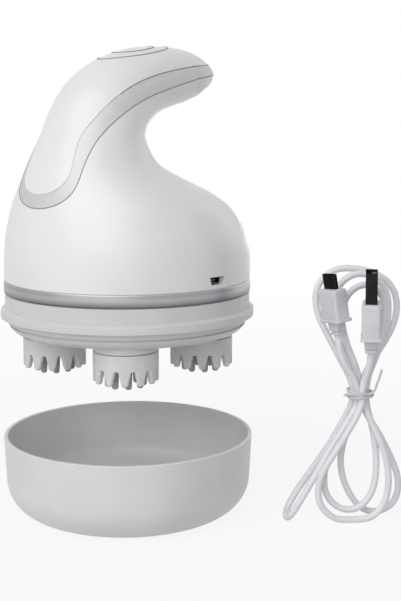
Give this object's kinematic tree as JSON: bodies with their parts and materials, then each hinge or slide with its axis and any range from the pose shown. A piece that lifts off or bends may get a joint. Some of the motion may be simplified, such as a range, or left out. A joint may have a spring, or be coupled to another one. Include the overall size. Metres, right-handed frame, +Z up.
{
  "type": "electric scalp massager",
  "caption": "Cordless electric scalp massager with a hooked handle and turning silicone claw heads, lifted off its storage cup, with a tied USB charging cable.",
  "frame": {"origin": "centre of the storage cup's foot, on the surface it stands on", "axes": "+Z up along the cup and massager axis, +X the way the handle hooks over, -Y the side of the charging port"},
  "size_m": [0.1157, 0.1427, 0.1847],
  "materials": {
    "white_shell": "satin moulded white",
    "silver_trim": "satin silver paint",
    "grey_ring": "fine matt moulded",
    "silicone": "matt silicone",
    "cup_grey": "satin silver grey",
    "steel": "turned",
    "gear_plastic": "natural acetal",
    "bronze": "sintered",
    "deck_plastic": "moulded black",
    "cell_wrap": "shrink wrap",
    "circuit_board": "solder mask",
    "plug_metal": "nickel plate",
    "cable_jacket": "satin soft vinyl",
    "tie_plastic": "coated wire"
  },
  "bodies": {
    "cup": {"storage_cup": "cup_grey", "cable_hank": "cable_jacket", "usb_a_plug": "cable_jacket", "usb_a_shell": "plug_metal", "micro_usb_plug": "cable_jacket", "micro_usb_shell": "plug_metal", "cable_tie": "tie_plastic"},
    "massager": {"base_plate": "grey_ring", "battery_cell": "cell_wrap", "battery_cradle": "deck_plastic", "button_bezel": "white_shell", "charge_socket": "plug_metal", "deck_screws": "steel", "gear_deck": "deck_plastic", "gearbox": "steel", "handle_cover": "white_shell", "handle_trim": "silver_trim", "housing_shell": "white_shell", "lip_seal": "grey_ring", "main_board": "circuit_board", "motor_can": "steel", "seal_collar": "grey_ring", "shaft_bush_1": "bronze", "shaft_bush_2": "bronze", "shaft_bush_3": "bronze", "shaft_bush_4": "bronze", "silver_band": "silver_trim", "switch_board": "circuit_board", "tactile_switch": "deck_plastic"},
    "sun": {"sun_gear": "gear_plastic", "drive_shaft": "steel"},
    "head_1": {"massage_head_1": "silicone", "head_shaft_1": "steel", "planet_gear_1": "gear_plastic"},
    "head_2": {"massage_head_2": "silicone", "head_shaft_2": "steel", "planet_gear_2": "gear_plastic"},
    "head_3": {"massage_head_3": "silicone", "head_shaft_3": "steel", "planet_gear_3": "gear_plastic"},
    "head_4": {"massage_head_4": "silicone", "head_shaft_4": "steel", "planet_gear_4": "gear_plastic"},
    "button": {"power_button": "white_shell"}
  },
  "joints": [
    {"name": "massager_lift", "type": "slide", "parent": "cup", "child": "massager", "axis": [0, 0, 1], "range_m": [-0.0475, 0]},
    {"name": "sun_spin", "type": "hinge", "parent": "massager", "child": "sun", "pos_m": [0, 0, 0.0794], "axis": [0, 0, 1], "continuous": true},
    {"name": "head_1_spin", "type": "hinge", "parent": "massager", "child": "head_1", "pos_m": [0.02068, 0.02068, 0.0794], "axis": [0, 0, 1], "continuous": true},
    {"name": "head_2_spin", "type": "hinge", "parent": "massager", "child": "head_2", "pos_m": [-0.02068, 0.02068, 0.0794], "axis": [0, 0, 1], "continuous": true},
    {"name": "head_3_spin", "type": "hinge", "parent": "massager", "child": "head_3", "pos_m": [-0.02068, -0.02068, 0.0794], "axis": [0, 0, 1], "continuous": true},
    {"name": "head_4_spin", "type": "hinge", "parent": "massager", "child": "head_4", "pos_m": [0.02068, -0.02068, 0.0794], "axis": [0, 0, 1], "continuous": true},
    {"name": "button_press", "type": "slide", "parent": "massager", "child": "button", "axis": [0, 0, -1], "range_m": [0, 0.0006], "stiffness_N_per_m": 1500, "springref_m": -0.0003}
  ],
  "couplings": [
    {"joint": "head_1_spin", "follows": "sun_spin", "ratio": -1.6},
    {"joint": "head_2_spin", "follows": "sun_spin", "ratio": -1.6},
    {"joint": "head_3_spin", "follows": "sun_spin", "ratio": -1.6},
    {"joint": "head_4_spin", "follows": "sun_spin", "ratio": -1.6}
  ]
}
